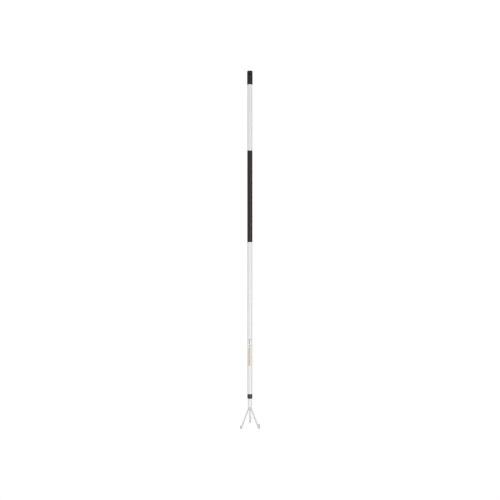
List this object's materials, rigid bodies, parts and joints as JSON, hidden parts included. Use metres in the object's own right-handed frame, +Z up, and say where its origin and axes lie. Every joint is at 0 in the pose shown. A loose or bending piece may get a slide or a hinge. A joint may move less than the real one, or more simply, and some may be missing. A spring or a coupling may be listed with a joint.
{
  "type": "garden cultivator",
  "caption": "Long-handled garden cultivator: white tube shaft with a dark grip sleeve, a black cap with a hanging hole, and a welded head of hooked tines with flat tips.",
  "frame": {"origin": "centre of the hanging hole in the end cap, on the shaft's axis", "axes": "+Z up the shaft from the tines to the cap; the hanging hole runs along Y; the tines hook towards +Y; X is across the tines"},
  "size_m": [0.0883, 0.0995, 1.5441],
  "materials": {
    "black_plastic": "fine spark-eroded texture, satin",
    "white_tube_coat": "aluminium tube with a smooth white powder coat",
    "soft_grip": "matte soft-touch sleeve, dark brown-black",
    "label_film": "thin white film printed with plain grey and orange bars",
    "white_steel_coat": "white powder coat on steel",
    "rivet_aluminium": "satin",
    "rivet_steel": "bare pulled stem"
  },
  "bodies": {
    "root": {"end_cap": "black_plastic", "shaft_tube": "white_tube_coat", "grip_sleeve": "soft_grip", "shaft_label": "label_film", "ferrule": "black_plastic", "tang_tube": "white_steel_coat", "mouth_weld": "white_steel_coat", "tine_left": "white_steel_coat", "tine_center": "white_steel_coat", "tine_right": "white_steel_coat", "rivet_body": "rivet_aluminium", "rivet_mandrel": "rivet_steel"}
  },
  "joints": []
}
